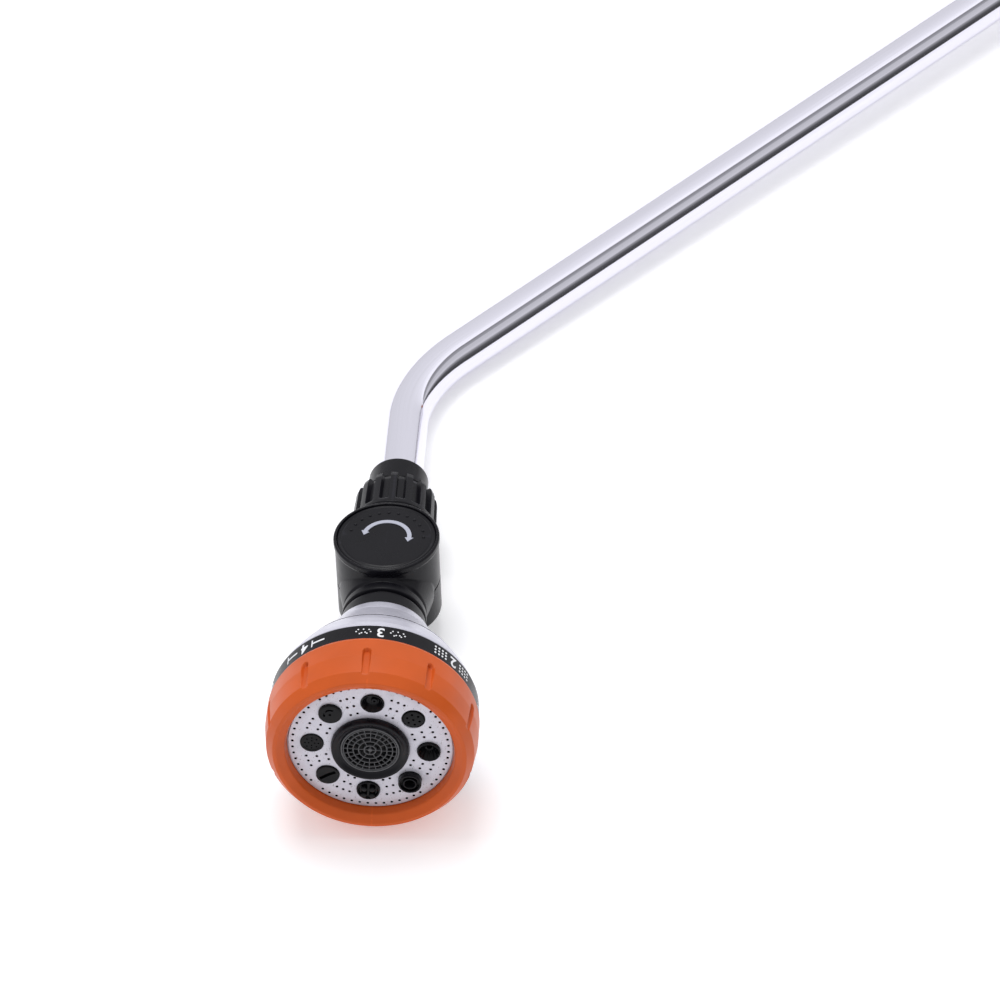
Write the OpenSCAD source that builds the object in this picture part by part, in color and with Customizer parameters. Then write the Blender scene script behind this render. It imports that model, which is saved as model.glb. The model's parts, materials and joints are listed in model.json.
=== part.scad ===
// Watering wand: an eight-pattern spray head on a tilting joint, a bent tube and a valve handle.
// The straight tube lies on the X axis, with the hose nipple at +X and its sealing land at the origin.

/* [Tube] */
// Outer diameter of the tube
tube_d = 18; // [17.5:0.1:18]
// Wall thickness of the tube
tube_wall = 1; // [0.8:0.1:1.5]
// Distance from the hose nipple's land to the corner of the bend
tube_run = 600; // [420:10:900]
// Angle that the bend turns through
bend_angle = 48; // [30:1:60]
// Radius of the bend's centre line
bend_r = 55; // [40:1:70]
// Roll of the bend's plane about the straight tube
bend_roll = 12.9; // [0:0.1:20]
// Distance from the corner of the bend to the head's pivot
bend_to_pivot = 113.4; // [105:0.1:140]

/* [Head] */
// Roll of the pivot axis about the head's own axis
head_roll = 10; // [-20:1:20]
// Turn of the pattern dial in its click position
dial_turn = -4.6; // [-22.5:0.1:22.5]
// Largest radius of the orange bezel
bezel_r = 38.3; // [38:0.1:39]
// Radius of the circle that the pattern ports lie on
port_circle_r = 21; // [20.8:0.1:21.2]
// Radius of a port in the face plate
port_r = 4.25; // [4.2:0.05:4.3]
// Radius of a single shower hole
jet_r = 0.42; // [0.3:0.02:0.5]
// Number of finger grooves round the bezel
bezel_grooves = 10; // [6:1:12]

/* [Pivot housing] */
// Radius of the two stacked halves
housing_r = 19.3; // [19.3:0.1:19.6]
// Height of each half above or below the seam
housing_h = 19.6; // [19.6:0.1:20]
// Gap between the halves at the seam
seam_gap = 0.3; // [0.2:0.05:0.4]
// Running clearance of a turning fit, on the radius
run_gap = 0.06; // [0.03:0.01:0.09]

/* [Lock nut] */
// Number of ribs on the lock nut
nut_ribs = 16; // [12:1:18]
// Radius over the ribs
nut_r = 16.1; // [16:0.1:16.5]

/* [Handle] */
// Radius of the soft grip at its fullest
grip_r = 16.6; // [15.8:0.1:18]
// Number of grooves round the soft grip
grip_grooves = 9; // [5:1:10]
// Radius of the valve body
valve_r = 17; // [16:0.5:18]
// Length of the thumb lever from its pivot
lever_len = 50; // [35:1:60]

/* [Hidden] */
$fn = 96;
tube_r = tube_d / 2;
tube_bore = tube_r - tube_wall;
tangent = bend_r * tan(bend_angle / 2);
half_gap = seam_gap / 2;
pattern_count = 8;
pattern_step = 360 / pattern_count;

black = "#26272b";
rubber = "#1a1b1d";
silver = "#c6c8d2";
orange = "#e96f35";
bright = "#dfe1ec";
steel = "#9a9ca2";
brass = "#c9a25a";
white = "#f2f2f4";
clear = "#d8d4c4";

// Stations along the head's axis, measured from the pivot towards the face
pivot_to_face = 93.2;
neck_start = 21.5;
collar_start = 34.7;
shell_start = 40.9;
label_start = 70.3;
bezel_start = 77.6;
plate_back = pivot_to_face - 1.8;
plate_r = 32.8;
lip_r = 29.9;
crease_z = pivot_to_face + 1.6;
front_z = pivot_to_face + 5.2;
hub_r = 6;
centre_r = 13.6;
mesh_r = 10.3;
insert_r = port_r - 0.05;

// Stations along the pivot axis, measured from the seam towards the cap
spigot_r = 9;
spigot_top = 15.5;
chamber_low = 4.5;
chamber_high = 12.5;
cap_seat = 18;
cap_top = 19.2;

// Distances from the pivot back along the tube
tube_stop = 27.5;
tail_r = 12.2;
tail_end = 41;
nut_start = 24.1;
nut_end = 43.4;
collet_r = 11.3;
collet_end = 56;

// Stations along the handle
ball_x = -176;
ball_r = 11;
valve_front = -203;
valve_rear = -152;
tube_end_x = -192;
seat_in = 8.2;
seat_out = 11.8;
grip_front = -148;
grip_rear = -34;
water_r = 7;
land_r = 7.9;

// ---- shared shapes ----

module ring(r_out, r_in, z0, z1)
    rotate_extrude() translate([r_in, z0]) square([r_out - r_in, z1 - z0]);

module disc(r, z0, z1)
    translate([0, 0, z0]) cylinder(r = r, h = z1 - z0);

module o_ring(r_mid, wire_r, z)
    rotate_extrude() translate([r_mid, z]) circle(r = wire_r, $fn = 32);

module around(count, start = 0)
    for (i = [0:count - 1]) rotate([0, 0, start + i * 360 / count]) children();

// A helical spring that stands on z = 0
module coil(r, wire_r, pitch, turns) {
    sides = 8;
    steps = turns * 20;
    points = [for (i = [0:steps]) for (j = [0:sides - 1])
        let (a = i * 18, b = j * 360 / sides, q = r + wire_r * cos(b))
        [q * cos(a), q * sin(a), wire_r + wire_r * sin(b) + pitch * a / 360]];
    walls = [for (i = [0:steps - 1]) for (j = [0:sides - 1])
        let (k = (j + 1) % sides, p = i * sides, n = p + sides)
        each [[p + j, p + k, n + k], [p + j, n + k, n + j]]];
    cap_a = [for (j = [0:sides - 1]) sides - 1 - j];
    cap_b = [for (j = [0:sides - 1]) steps * sides + j];
    polyhedron(points = points, faces = concat(walls, [cap_a, cap_b]));
}

// ---- placing frames ----

// Z runs from the bend's corner towards the head, Y is the normal of the bend's plane
module at_bend()
    rotate([-bend_roll, 0, 0])
    translate([-tube_run, 0, 0])
    rotate([0, 0, bend_angle - 90])
    rotate([90, 0, 0])
    children();

// Z is the head's axis, Y is the pivot axis with the cap on its positive side
module at_pivot()
    at_bend()
    translate([0, 0, bend_to_pivot])
    rotate([0, 0, -head_roll])
    children();

module at_dial()
    at_pivot() rotate([0, 0, dial_turn]) children();

// Z is the pivot axis and Y points back along the tube
module along_pivot()
    rotate([-90, 0, 0]) children();

// Z runs from the pivot back along the tube
module along_tail()
    rotate([180, 0, 0]) children();

// Z runs along the handle towards the hose, X points to the floor side
module along_handle()
    rotate([0, 90, 0]) children();

// Moves to one of the ports, counted from the first one anticlockwise
module at_port(index)
    at_dial()
    rotate([0, 0, index * pattern_step])
    translate([port_circle_r, 0, 0])
    children();

// ---- tube and its clamp ----

module tube_section()
    difference() {
        circle(r = tube_r);
        circle(r = tube_bore);
    }

module tube() color(bright) {
    along_handle()
        translate([0, 0, tangent - tube_run])
        linear_extrude(tube_run - tangent + tube_end_x)
        tube_section();
    rotate([-bend_roll, 0, 0])
        translate([tangent - tube_run, -bend_r, 0])
        rotate([0, 0, 90])
        rotate_extrude(angle = bend_angle)
        translate([bend_r, 0])
        tube_section();
    at_bend()
        translate([0, 0, tangent])
        linear_extrude(bend_to_pivot - tube_stop - tangent)
        tube_section();
}

// Split sleeve that grips the tube when the nut is tight
module collet() color(black) at_pivot() along_tail()
    difference() {
        rotate_extrude() polygon([
            [tube_r + 0.03, tail_end + 0.1], [collet_r, tail_end + 0.1], [collet_r, collet_end - 0.6],
            [collet_r - 0.6, collet_end], [tube_r + 0.03, collet_end]]);
        rotate([0, 0, 135])
            translate([tube_r - 1, -0.4, tail_end + 2])
            cube([5, 0.8, collet_end]);
    }

module tube_seal() color(rubber) at_pivot() along_tail()
    o_ring(tube_r + 0.72, 0.66, tube_stop + 3.5);

// Lower half of the pivot: chamber, hollow spigot and the threaded tail for the tube
module knuckle_lower() color(black) at_pivot()
    difference() {
        union() {
            along_pivot() rotate_extrude() polygon([
                [0, -housing_h], [housing_r - 4.8, -housing_h], [housing_r, 5.6 - housing_h],
                [housing_r, -half_gap], [0, -half_gap]]);
            along_pivot() disc(spigot_r, -1, spigot_top);
            difference() {
                along_tail() disc(tail_r, 12, tail_end);
                along_pivot() disc(housing_r + 0.4, -half_gap, housing_h + 1);
            }
        }
        along_pivot() disc(14, -15.5, -chamber_low);
        along_pivot() disc(hub_r, -5, chamber_high - 0.2);
        along_pivot() disc(1.62, chamber_high - 1, spigot_top + 1);
        along_pivot() around(4, 45)
            translate([0, 0, (chamber_low + chamber_high) / 2])
            rotate([0, 90, 0])
            cylinder(r = 3.2, h = spigot_r + 1);
        along_pivot() ring(spigot_r + 1, spigot_r - 1.4, 1.6, 3.2);
        along_pivot() ring(spigot_r + 1, spigot_r - 1.4, 13.1, 14.7);
        along_tail() translate([0, 8.5, 10]) cylinder(r = 4, h = tube_stop - 10);
        along_tail() disc(tube_bore, 21.8, tube_stop + 1);
        along_tail() disc(tube_r + 0.05, tube_stop, tail_end + 1);
        along_tail() ring(tube_r + 1.42, tube_r, tube_stop + 2.7, tube_stop + 4.3);
    }

module pivot_seals() color(rubber) at_pivot() along_pivot() {
    o_ring(spigot_r - 0.7, 0.68, 2.4);
    o_ring(spigot_r - 0.7, 0.68, 13.9);
}

module pivot_screw() color(steel) at_pivot() along_pivot()
    difference() {
        union() {
            disc(1.6, chamber_high + 0.2, spigot_top + 1);
            disc(3.6, spigot_top + 0.8, spigot_top + 2.2);
        }
        for (a = [0, 90])
            rotate([0, 0, a]) translate([-2, -0.35, spigot_top + 1.5]) cube([4, 0.7, 1]);
    }

module pivot_washer() color(steel) at_pivot() along_pivot()
    ring(9.4, 1.62, spigot_top, spigot_top + 0.8);

// Castellated nut, smooth at the housing and ribbed towards the tube
module lock_nut() color(black) at_pivot() along_tail()
    difference() {
        union() {
            rotate_extrude() polygon([
                [tail_r + 0.15, nut_start], [nut_r - 0.4, nut_start], [nut_r, nut_start + 0.6],
                [nut_r - 0.1, nut_start + 3.6], [nut_r - 1.9, nut_start + 4.6],
                [nut_r - 2.8, nut_end - 1.6], [nut_r - 3.3, nut_end - 0.8],
                [collet_r + 0.2, nut_end - 0.8], [collet_r + 0.2, nut_end - 1.4],
                [tail_r + 0.15, nut_end - 1.4]]);
            intersection() {
                rotate_extrude() polygon([
                    [tail_r + 0.3, nut_start + 3], [nut_r - 0.1, nut_start + 3],
                    [nut_r - 1, nut_end - 1], [nut_r - 1.7, nut_end],
                    [tail_r + 0.3, nut_end]]);
                around(nut_ribs, 0)
                    translate([tail_r, -1.35, nut_start])
                    cube([6, 2.7, 30]);
            }
        }
        disc(collet_r + 0.2, nut_end - 2, nut_end + 1);
    }

// ---- tilting head ----

// Upper half of the pivot: turns on the spigot and carries the neck
module knuckle_upper() color(black) at_pivot()
    difference() {
        union() {
            along_pivot() rotate_extrude() polygon([
                [0, half_gap], [housing_r, half_gap], [housing_r, 16.6], [housing_r + 0.4, 17.2],
                [housing_r + 0.4, housing_h - 0.4], [housing_r, housing_h],
                [housing_r - 0.8, housing_h], [housing_r - 0.8, cap_seat], [0, cap_seat]]);
            difference() {
                rotate_extrude() polygon([
                    [0, 6], [17.8, 6], [17.5, 10], [15.4, 19.6], [14.7, 20.2],
                    [14.7, neck_start], [0, neck_start]]);
                along_pivot() disc(housing_r + 0.3, -20, half_gap);
            }
        }
        along_pivot() disc(spigot_r + run_gap, 0, spigot_top);
        along_pivot() disc(15.5, chamber_low, chamber_high);
        along_pivot() disc(10, spigot_top - 0.3, housing_h);
        translate([0, (chamber_low + chamber_high) / 2, 10]) cylinder(r = 4, h = 20);
    }

module pivot_cap() color(black) at_pivot() along_pivot()
    rotate_extrude() polygon([
        [0, cap_seat], [housing_r - 0.9, cap_seat], [housing_r - 0.9, cap_top - 0.4],
        [housing_r - 1.3, cap_top], [0, cap_top]]);

// Curved double arrow round the tube side of the cap
module cap_arrow() color(white) at_pivot() along_pivot()
    translate([0, 0, cap_top]) {
        arrow_from = -4;
        arrow_to = 160;
        rotate([0, 0, arrow_from])
            rotate_extrude(angle = arrow_to - arrow_from)
            translate([6.9, 0])
            square([2.5, 0.25]);
        for (side = [-1, 1])
            rotate([0, 0, side < 0 ? arrow_from : arrow_to])
            linear_extrude(0.25)
            polygon([[6.1, 0], [8.15, side * 2.4], [10.2, 0]]);
    }

module click_dots() color(black) at_pivot() along_pivot()
    for (i = [0:11])
        rotate([0, 0, 165 - 15 * i])
        translate([13.8, 0, cap_top])
        cylinder(r1 = 0.5, r2 = 0.3, h = 0.3);

module neck() color(black) at_pivot()
    difference() {
        rotate_extrude() polygon([
            [11, neck_start], [14.9, neck_start], [15.6, 22.1], [15.6, 24.8], [14.8, 25.4],
            [14.8, 26.2], [15.6, 26.9], [15.6, 32.6], [14.9, 33.4], [14.9, 47], [11, 47]]);
        ring(16, 13.9, 41.2, 42.8);
    }

module neck_seal() color(rubber) at_pivot()
    o_ring(14.6, 0.66, 42);

module shell_collar() color(silver) at_pivot()
    rotate_extrude() polygon([
        [15, collar_start], [17.6, collar_start], [18.1, collar_start + 0.5],
        [20.4, shell_start - 0.3], [20.4, shell_start], [15, shell_start]]);

module back_shell() color(silver) at_pivot()
    rotate_extrude() polygon([
        [15.3, shell_start], [20.7, shell_start], [24.2, 47], [29, 54], [33.2, 61], [36.2, 67],
        [37.2, 70], [35, 70], [34, 67], [31, 61.6], [26.8, 54.8], [22, 47.6], [17.5, 43.2],
        [15.3, 43.2]]);

// Funnel that spreads the water from the neck to the selector
module flow_cone() color(black) at_pivot()
    difference() {
        rotate_extrude() polygon([
            [11, 47], [15.6, 47], [30, 65.5], [33.9, 67.8], [34.2, 70.4], [27, 70.4], [27, 66]]);
        ring(30.4, 28.4, 69.6, 71);
    }

module cone_seal() color(rubber) at_pivot()
    ring(30.3, 28.5, 69.7, 70.4);

// Fixed disc with one outlet that faces the chosen chamber of the dial
module selector_disc() color(black) at_pivot()
    difference() {
        union() {
            disc(32.6, 70.4, 76);
            disc(hub_r, 76, 84.2);
        }
        rotate([0, 0, 90 + dial_turn]) translate([port_circle_r, 0, 0]) {
            disc(3.4, 69, 77);
            disc(5.25, 72, 77);
        }
        rotate([0, 0, 270 + dial_turn]) translate([28, 0, 0]) disc(2.1, 71.6, 77);
        disc(1.62, 73, 85);
    }

module port_seal() color(rubber) at_pivot()
    rotate([0, 0, 90 + dial_turn])
    translate([port_circle_r, 0, 0])
    ring(5.15, 3.3, 75.2, 78.05);

module port_spring() color(steel) at_pivot()
    rotate([0, 0, 90 + dial_turn])
    translate([port_circle_r, 0, 72.02])
    coil(4.3, 0.4, 1.15, 2);

module detent_ball() color(steel) at_pivot()
    rotate([0, 0, 270 + dial_turn])
    translate([28, 0, 76])
    sphere(r = 1.95);

module detent_spring() color(steel) at_pivot()
    rotate([0, 0, 270 + dial_turn])
    translate([28, 0, 71.62])
    coil(1.55, 0.25, 0.8, 2);

module dial_washer() color(steel) at_pivot()
    ring(8.3, 1.62, 84.2, 85);

module dial_screw() color(steel) at_pivot()
    difference() {
        union() {
            disc(1.6, 74, 85.5);
            disc(3.6, 85, 87);
        }
        for (a = [0, 90]) rotate([0, 0, a]) translate([-2, -0.35, 86.2]) cube([4, 0.7, 1]);
    }

// ---- pattern dial ----

// Orange dial: nearly straight side, a crease, a chamfer and a raised front rim round the plate
module bezel() color(orange) at_dial()
    difference() {
        rotate_extrude() polygon([
            [34.6, bezel_start], [bezel_r - 0.6, bezel_start], [bezel_r, bezel_start + 1.2],
            [bezel_r, 87], [bezel_r - 1, crease_z], [bezel_r - 3.5, front_z - 0.3],
            [bezel_r - 4.1, front_z], [bezel_r - 4.9, front_z], [lip_r + 1.1, front_z - 1.2],
            [lip_r + 0.6, front_z - 2], [lip_r, plate_back + 2], [lip_r, plate_back + 1.2],
            [33, plate_back + 1.2], [33, 80], [34.6, 79.2]]);
        around(bezel_grooves, 18 - dial_turn) {
            translate([bezel_r - 1.2, 0, 84.9]) rotate([0, 90, 0]) cylinder(r = 1.5, h = 4);
            translate([bezel_r - 1.2, -1.5, 84.9]) cube([4, 3, 10.6]);
        }
    }

module label_ring() color(black) at_dial()
    rotate_extrude() polygon([
        [34.6, label_start], [37.4, label_start], [37.7, label_start + 0.4],
        [37.7, bezel_start], [34.6, bezel_start]]);

// Shower holes: an outer ring with four gaps, and a small group between each pair of ports
module shower_holes() {
    for (i = [0:59])
        if (i % 15 != 8)
            rotate([0, 0, i * 6]) translate([28, 0, 0]) disc(jet_r, 90, 95);
    around(pattern_count, pattern_step / 2) {
        for (a = [-6, 0, 6]) rotate([0, 0, a]) translate([23.8, 0, 0]) disc(jet_r, 90, 95);
        for (a = [-3.5, 3.5]) rotate([0, 0, a]) translate([20.1, 0, 0]) disc(jet_r, 90, 95);
        for (a = [-4.5, 4.5]) rotate([0, 0, a]) translate([16.5, 0, 0]) disc(jet_r, 90, 95);
    }
}

module face_plate() color(silver) at_dial()
    difference() {
        rotate_extrude() polygon([
            [centre_r, plate_back], [plate_r, plate_back], [plate_r, plate_back + 1.1],
            [lip_r - 0.2, plate_back + 1.1], [lip_r - 0.4, pivot_to_face - 0.1],
            [centre_r, pivot_to_face + 0.45]]);
        around(pattern_count) translate([port_circle_r, 0, 0]) disc(port_r, 90, 95);
        shower_holes();
    }

// Rear of the dial: one chamber for each pattern, turning on the selector's hub
module chamber_plate() color(black) at_dial()
    difference() {
        union() {
            disc(32.9, 78.2, 80.2);
            disc(8.6, 80, 84);
            ring(32.9, 31.4, 80, plate_back);
            ring(15.4, 14, 80, plate_back);
            around(pattern_count) translate([port_circle_r, 0, 0]) disc(5.2, 80, 86);
        }
        disc(hub_r + run_gap, 77, 85);
        around(pattern_count) translate([port_circle_r, 0, 0]) disc(2.8, 77, 87);
        around(pattern_count, pattern_step / 2) translate([11.3, 0, 0]) disc(1.2, 77, 81);
        around(pattern_count) translate([28, 0, 76.2]) sphere(r = 2.3);
    }

module centre_ring() color(black) at_dial()
    rotate_extrude() polygon([
        [mesh_r + 0.3, plate_back], [centre_r - 0.1, plate_back], [centre_r - 0.1, 93.7],
        [14.2, 93.7], [14.2, 94.4], [13.9, 95.6], [13.4, 96.2], [12.9, 96.1],
        [mesh_r + 0.9, 94.9], [mesh_r + 0.3, 94.7]]);

module aerator_mesh() color(black) at_dial() {
    for (r = [2, 4, 6, 8]) ring(r + 0.3, r - 0.3, 94.4, 95.3);
    ring(mesh_r + 0.2, mesh_r - 0.6, 93.6, 95.5);
    intersection() {
        for (a = [0:15:165]) rotate([0, 0, a]) translate([-mesh_r, -0.25, 94.4]) cube([2 * mesh_r, 0.5, 0.7]);
        ring(mesh_r, 1.9, 94, 96);
    }
    disc(1, 94.2, 95.5);
    for (a = [0, 90])
        rotate([0, 0, a]) translate([-2, -0.25, 94.4]) cube([4, 0.5, 0.7]);
}

// ---- port inserts ----

// Every insert stands on the chamber plate and reaches its own height in front of the plate
module insert_blank(top) disc(insert_r, 86, top);

module insert_cone() color(black) at_port(0)
    difference() {
        insert_blank(94.4);
        translate([0, 0, 91]) cylinder(r1 = 1.1, r2 = 3.8, h = 3.5);
        disc(0.9, 85, 92);
        around(12) translate([1.6, -0.12, 92.6]) cube([3, 0.24, 2]);
    }

module insert_shower() color(black) at_port(1)
    difference() {
        insert_blank(93.7);
        ring(6, 3.7, 93.1, 95);
        disc(0.45, 85, 95);
        around(6) translate([2.3, 0, 0]) disc(0.45, 85, 95);
    }

module insert_mist() color(black) at_port(2)
    difference() {
        insert_blank(93.9);
        translate([0, 0, 91.7]) cylinder(r1 = 2.2, r2 = 3.8, h = 2.3);
        translate([0, -1.2, 0]) disc(0.6, 85, 93);
    }

module insert_flat() color(black) at_port(3)
    difference() {
        insert_blank(94.4);
        translate([0, 0, 93.8])
            rotate([0, 0, -60])
            rotate_extrude(angle = 120)
            translate([1.8, 0])
            square([0.8, 1]);
        disc(0.5, 85, 95);
    }

module insert_soaker() color(black) at_port(4)
    difference() {
        insert_blank(93.9);
        around(8) translate([2.6, 0, 0]) disc(0.4, 85, 95);
    }

module insert_fan() color(black) at_port(5)
    difference() {
        insert_blank(94.2);
        rotate([0, 0, -10]) translate([-3.2, -0.8, 93]) cube([6.4, 1.6, 2]);
        disc(0.75, 85, 94);
    }

module insert_angle() color(black) at_port(6)
    difference() {
        union() {
            insert_blank(94.4);
            for (a = [45:90:315]) rotate([0, 0, a]) translate([2.1, 0, 94]) cylinder(r = 1, h = 1.6);
        }
        for (a = [0, 90]) rotate([0, 0, a]) translate([-3.4, -0.4, 93.4]) cube([6.8, 0.8, 2]);
        disc(0.3, 85, 94);
    }

module insert_jet() color(black) at_port(7)
    difference() {
        insert_blank(95.9);
        ring(3.4, 2.5, 94.3, 97);
        translate([0, 0, 93.4]) cylinder(r1 = 1, r2 = 2, h = 3);
        disc(1, 85, 94);
    }

// ---- handle and valve ----

module valve_body() color(black)
    difference() {
        union() {
            along_handle() rotate_extrude() polygon([
                [0, valve_front], [valve_r - 1.2, valve_front], [valve_r, valve_front + 1.2],
                [valve_r, valve_rear - 1.2], [valve_r - 1.2, valve_rear], [0, valve_rear]]);
            translate([ball_x, 0, 10]) cylinder(r = 8.5, h = 10);
        }
        along_handle() disc(12.95, valve_front - 1, ball_x - 12);
        along_handle() disc(ball_r + 0.3, ball_x - 12.5, ball_x + seat_out + 0.05);
        along_handle() disc(water_r, ball_x, valve_rear + 1);
        along_handle() disc(10, -158, valve_rear + 1);
        translate([ball_x, 0, 8]) cylinder(r = 3.5 + run_gap, h = 20);
        translate([ball_x, 0, 15]) cylinder(r = 5.2, h = 2);
    }

// Threaded front of the valve: holds the seats together and takes the tube
module valve_cap() color(black) along_handle()
    difference() {
        rotate_extrude() polygon([
            [0, valve_front - 9], [14.2, valve_front - 9], [valve_r - 0.6, valve_front - 3],
            [valve_r - 0.6, valve_front], [12.9, valve_front], [12.9, ball_x - 12.1],
            [0, ball_x - 12.1]]);
        disc(water_r, tube_end_x - 1, ball_x);
        disc(tube_r + 0.03, valve_front - 10, tube_end_x);
        ring(tube_r + 1.42, tube_r - 0.5, -201, -199.4);
    }

module cap_seal() color(rubber) along_handle()
    o_ring(tube_r + 0.72, 0.66, -200.2);

module valve_seats() color(clear) along_handle()
    for (side = [-1, 1])
        translate([0, 0, ball_x])
        mirror([0, 0, side < 0 ? 1 : 0])
        difference() {
            ring(ball_r + 0.2, water_r, seat_in, seat_out);
            sphere(r = ball_r + run_gap);
        }

module valve_ball() color(steel)
    translate([ball_x, 0, 0])
    difference() {
        sphere(r = ball_r);
        rotate([0, 90, 0]) translate([0, 0, -20]) cylinder(r = water_r - 0.3, h = 40);
        translate([-3.1, -1.6, 8.4]) cube([6.2, 3.2, 5]);
    }

module valve_stem() color(brass)
    translate([ball_x, 0, 0])
    difference() {
        union() {
            translate([0, 0, 11.2]) cylinder(r = 3.5, h = 15);
            translate([-3, -1.5, 8.5]) cube([6, 3, 3]);
        }
        translate([0, 0, 16]) cylinder(r = 1.5, h = 12);
    }

module stem_seal() color(rubber)
    translate([ball_x, 0, 0])
    o_ring(4.34, 0.8, 16);

// Thumb lever: lies along the grip when the water is on
module thumb_lever() color(orange)
    translate([ball_x, 0, 0])
    difference() {
        union() {
            translate([0, 0, 20.3]) cylinder(r = 9, h = 6.4);
            translate([0, 0, 22.2]) linear_extrude(4)
                polygon([[0, -8], [14, -7.2], [lever_len - 6, -6], [lever_len - 2, -4.4], [lever_len, 0],
                    [lever_len - 2, 4.4], [lever_len - 6, 6], [14, 7.2], [0, 8]]);
            for (i = [0:4])
                translate([lever_len - 8 - 4 * i, -4.6, 26]) cube([1.6, 9.2, 1.1]);
        }
        translate([0, 0, 20]) cylinder(r = 3.52, h = 6.2);
        translate([0, 0, 20]) cylinder(r = 1.6, h = 10);
    }

module lever_screw() color(steel)
    translate([ball_x, 0, 0])
    difference() {
        union() {
            translate([0, 0, 17]) cylinder(r = 1.45, h = 10);
            translate([0, 0, 26.7]) cylinder(r = 4, h = 1.6);
        }
        for (a = [0, 90]) rotate([0, 0, a]) translate([-2.2, -0.4, 27.5]) cube([4.4, 0.8, 2]);
    }

module front_collar() color(orange) along_handle()
    rotate_extrude() polygon([
        [tube_r + 0.03, valve_front - 17], [11.2, valve_front - 17], [12.4, valve_front - 15.6],
        [13.8, valve_front - 9], [tube_r + 0.03, valve_front - 9]]);

module grip_core() color(black) along_handle()
    rotate_extrude() polygon([
        [water_r, -158], [9.9, -158], [9.9, valve_rear], [16, valve_rear], [16, grip_front],
        [12.4, grip_front], [12.4, grip_rear], [15.6, grip_rear], [15.6, -30], [10, -30],
        [10, -22], [9, -22], [9, -38], [water_r, -38]]);

// Soft sleeve, fuller in the middle and grooved for the fingers
module grip_sleeve() color(rubber) along_handle()
    difference() {
        rotate_extrude() polygon([
            [12.45, grip_front + 0.05], [15.6, grip_front + 0.05], [grip_r - 0.5, grip_front + 12],
            [grip_r, grip_front + 50], [grip_r - 0.6, grip_rear - 26], [15.2, grip_rear - 8],
            [15.2, grip_rear - 0.05], [12.45, grip_rear - 0.05]]);
        for (i = [0:grip_grooves - 1])
            translate([0, 0, grip_front + 20 + 8.5 * i]) ring(20, 15.1, -1, 1);
    }

module end_ring() color(orange) along_handle()
    ring(15, 10.05, -29.9, -22.1);

module inlet_nipple() color(black) along_handle()
    difference() {
        union() {
            rotate_extrude() polygon([
                [0, -37.9], [8.95, -37.9], [8.95, -22], [12, -22], [12, -15], [6.9, -14.2],
                [6.9, -7.8], [land_r, -6.8], [land_r, 6], [6.1, 6.6], [6.1, 9.2], [7.4, 9.6],
                [7.4, 12], [6.6, 13], [0, 13]]);
            translate([0, 0, -21.9]) cylinder(r = 14, h = 6.6, $fn = 6);
        }
        disc(5, -39, 14);
    }

module inlet_seal() color(rubber) along_handle()
    o_ring(6.98, 0.86, 7.9);

module filter_screen() color(steel) along_handle()
    difference() {
        disc(6.9, -40.5, -38.1);
        disc(1, -41, -37);
        around(6) translate([2.6, 0, 0]) disc(0.8, -41, -37);
        around(12) translate([5, 0, 0]) disc(0.8, -41, -37);
    }

tube();
collet();
tube_seal();
knuckle_lower();
pivot_seals();
pivot_screw();
pivot_washer();
lock_nut();
knuckle_upper();
pivot_cap();
cap_arrow();
click_dots();
neck();
neck_seal();
shell_collar();
back_shell();
flow_cone();
cone_seal();
selector_disc();
port_seal();
port_spring();
detent_ball();
detent_spring();
dial_washer();
dial_screw();
bezel();
label_ring();
face_plate();
chamber_plate();
centre_ring();
aerator_mesh();
insert_cone();
insert_shower();
insert_mist();
insert_flat();
insert_soaker();
insert_fan();
insert_angle();
insert_jet();
valve_body();
valve_cap();
cap_seal();
valve_seats();
valve_ball();
valve_stem();
stem_seal();
thumb_lever();
lever_screw();
front_collar();
grip_core();
grip_sleeve();
end_ring();
inlet_nipple();
inlet_seal();
filter_screen();
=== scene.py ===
"""Looks of the watering wand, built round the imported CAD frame. MM turns millimetres into metres."""

import json
import math

import bmesh
import bpy
from mathutils import Matrix, Vector


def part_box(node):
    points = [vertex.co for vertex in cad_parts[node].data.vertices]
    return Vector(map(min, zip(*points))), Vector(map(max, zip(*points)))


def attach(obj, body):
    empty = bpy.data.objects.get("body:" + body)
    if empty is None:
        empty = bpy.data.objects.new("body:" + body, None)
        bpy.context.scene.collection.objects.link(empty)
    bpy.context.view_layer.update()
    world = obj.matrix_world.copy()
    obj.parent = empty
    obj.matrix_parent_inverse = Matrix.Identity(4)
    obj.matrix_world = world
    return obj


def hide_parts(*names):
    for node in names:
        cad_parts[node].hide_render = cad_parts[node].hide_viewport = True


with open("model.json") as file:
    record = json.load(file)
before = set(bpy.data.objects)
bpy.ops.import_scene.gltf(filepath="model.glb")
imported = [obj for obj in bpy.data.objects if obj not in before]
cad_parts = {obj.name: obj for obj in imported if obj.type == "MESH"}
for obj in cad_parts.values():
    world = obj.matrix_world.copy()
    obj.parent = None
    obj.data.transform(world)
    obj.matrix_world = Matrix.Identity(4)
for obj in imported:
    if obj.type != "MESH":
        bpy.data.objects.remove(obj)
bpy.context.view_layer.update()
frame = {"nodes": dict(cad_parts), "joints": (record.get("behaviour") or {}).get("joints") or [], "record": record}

MM = 0.001
SEGMENTS = 192

# ---------------------------------------------------------------- frames taken from the record

joints = {j["name"]: j for j in frame["joints"]}
pivot = Vector(joints["head_tilt"]["pos_m"])
pivot_axis = Vector(joints["head_tilt"]["axis"]).normalized()
head_axis = Vector(joints["dial_turn"]["axis"]).normalized()
tilt_side = pivot_axis.cross(head_axis).normalized()
DIAL_TURN = math.radians(-4.6)


def basis(origin, x, y, z):
    """A frame from its origin and its three unit axes."""
    m = Matrix((x, y, z)).transposed().to_4x4()
    m.translation = origin
    return m


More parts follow.
